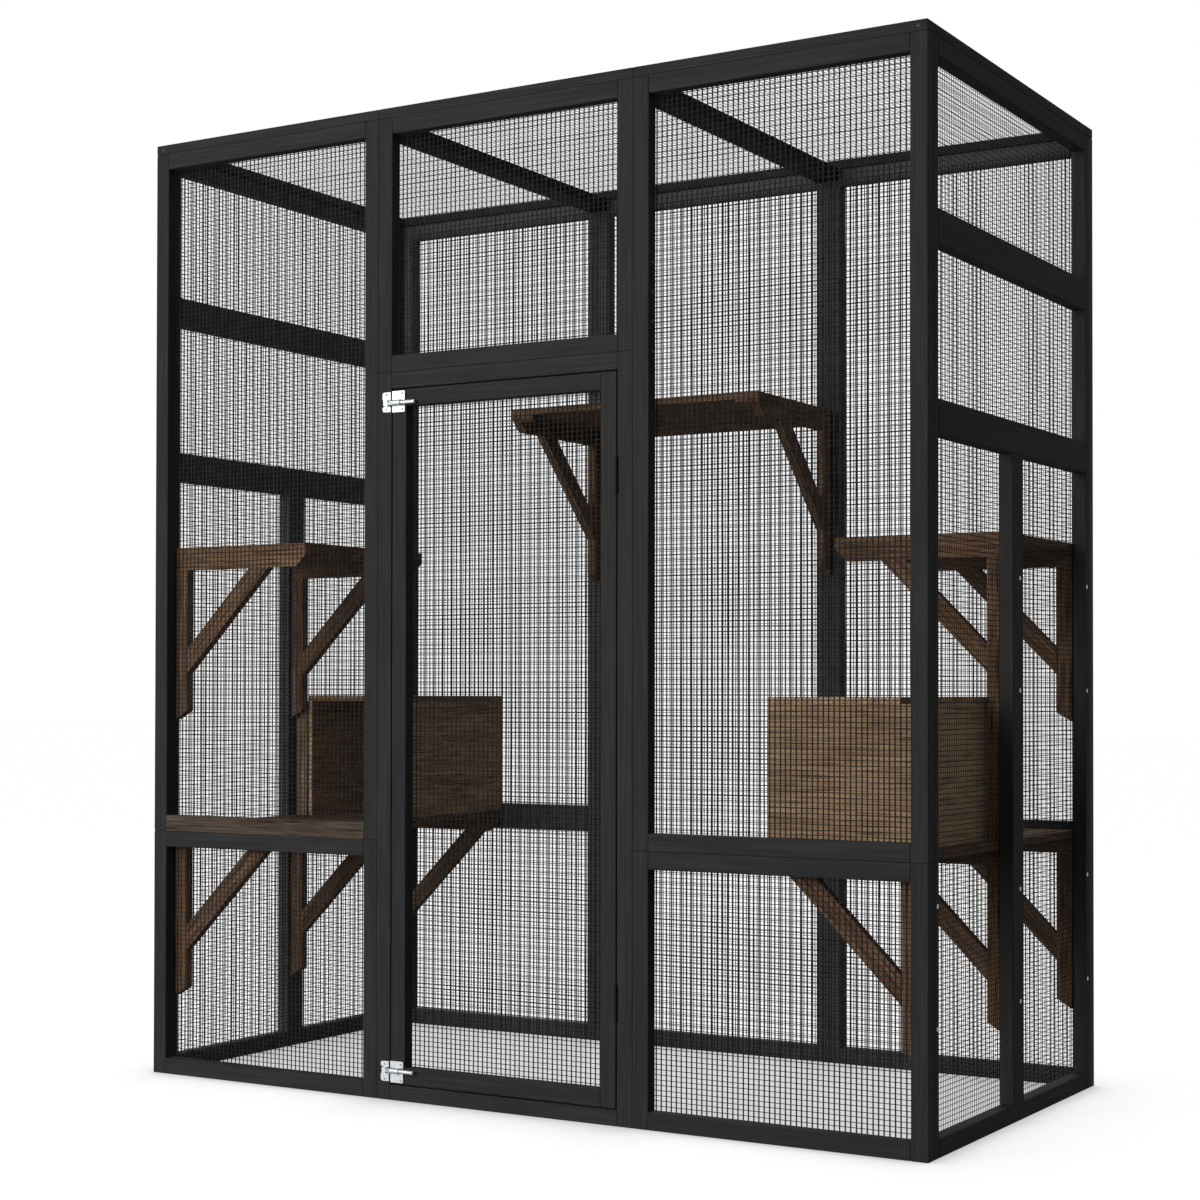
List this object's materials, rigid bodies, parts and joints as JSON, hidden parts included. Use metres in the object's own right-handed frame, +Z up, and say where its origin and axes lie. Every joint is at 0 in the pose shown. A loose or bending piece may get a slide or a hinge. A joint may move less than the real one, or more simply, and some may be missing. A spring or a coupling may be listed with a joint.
{
  "type": "catio",
  "caption": "Walk-in cat enclosure of dark painted battens and wire mesh with a hinged, bolted door, brown shelves on brackets and nest boxes.",
  "frame": {"origin": "centre of the bounding box at floor level", "axes": "+Z up, +X to the viewer's right, the front wall with the door faces -Y"},
  "size_m": [1.8028, 0.915, 2.014],
  "materials": {
    "charcoal_wood": "satin painted",
    "brown_wood": "stained, open grain",
    "wire_mesh": "dark coated wire",
    "black_iron": "black enamel",
    "zinc_plated": "bright zinc",
    "zinc_screw": "zinc"
  },
  "bodies": {
    "enclosure": {"back_centre_net": "wire_mesh", "back_left_net": "wire_mesh", "back_right_net": "wire_mesh", "back_wall_frame": "charcoal_wood", "bracket_screws": "zinc_screw", "door_surround_frame": "charcoal_wood", "frame_hardware_screws": "zinc_screw", "front_left_brown_rail": "brown_wood", "front_left_lower_frame": "charcoal_wood", "front_left_lower_net": "wire_mesh", "front_left_upper_frame": "charcoal_wood", "front_left_upper_net": "wire_mesh", "front_right_lower_frame": "charcoal_wood", "front_right_lower_net": "wire_mesh", "front_right_upper_frame": "charcoal_wood", "front_right_upper_net": "wire_mesh", "high_back_brackets": "brown_wood", "high_back_deck": "brown_wood", "high_back_ledger": "brown_wood", "hinge_frame_leaves": "black_iron", "hinge_pins": "black_iron", "latch_keepers": "zinc_plated", "left_box_end_board": "brown_wood", "left_box_front_strip": "brown_wood", "left_box_roof_board": "brown_wood", "left_box_sides": "brown_wood", "left_lower_brackets": "brown_wood", "left_lower_deck": "brown_wood", "left_middle_brackets": "brown_wood", "left_middle_deck": "brown_wood", "left_wall_frame": "charcoal_wood", "left_wall_net": "wire_mesh", "panel_screws": "zinc_screw", "right_box_end_board": "brown_wood", "right_box_front_strip": "brown_wood", "right_box_roof_board": "brown_wood", "right_box_sides": "brown_wood", "right_lower_brackets": "brown_wood", "right_lower_deck": "brown_wood", "right_middle_brackets": "brown_wood", "right_middle_deck": "brown_wood", "right_wall_frame": "charcoal_wood", "right_wall_net": "wire_mesh", "roof_bearers": "charcoal_wood", "roof_centre_net": "wire_mesh", "roof_frame_centre": "charcoal_wood", "roof_frame_left": "charcoal_wood", "roof_frame_right": "charcoal_wood", "roof_left_net": "wire_mesh", "roof_right_net": "wire_mesh", "roof_screws": "zinc_screw", "transom_frame": "charcoal_wood", "transom_net": "wire_mesh"},
    "door": {"door_frame": "charcoal_wood", "door_net": "wire_mesh", "hinge_door_leaves": "black_iron", "latch_plates": "zinc_plated", "door_hardware_screws": "zinc_screw"},
    "upper_bolt_body": {"upper_bolt": "zinc_plated"},
    "lower_bolt_body": {"lower_bolt": "zinc_plated"}
  },
  "joints": [
    {"name": "door_hinge", "type": "hinge", "parent": "enclosure", "child": "door", "pos_m": [0.26475, -0.44735, 0], "axis": [0, 0, 1], "range_deg": [0, 170]},
    {"name": "upper_bolt_slide", "type": "slide", "parent": "door", "child": "upper_bolt_body", "axis": [1, 0, 0], "range_m": [-0.029, 0]},
    {"name": "lower_bolt_slide", "type": "slide", "parent": "door", "child": "lower_bolt_body", "axis": [1, 0, 0], "range_m": [-0.029, 0]}
  ]
}
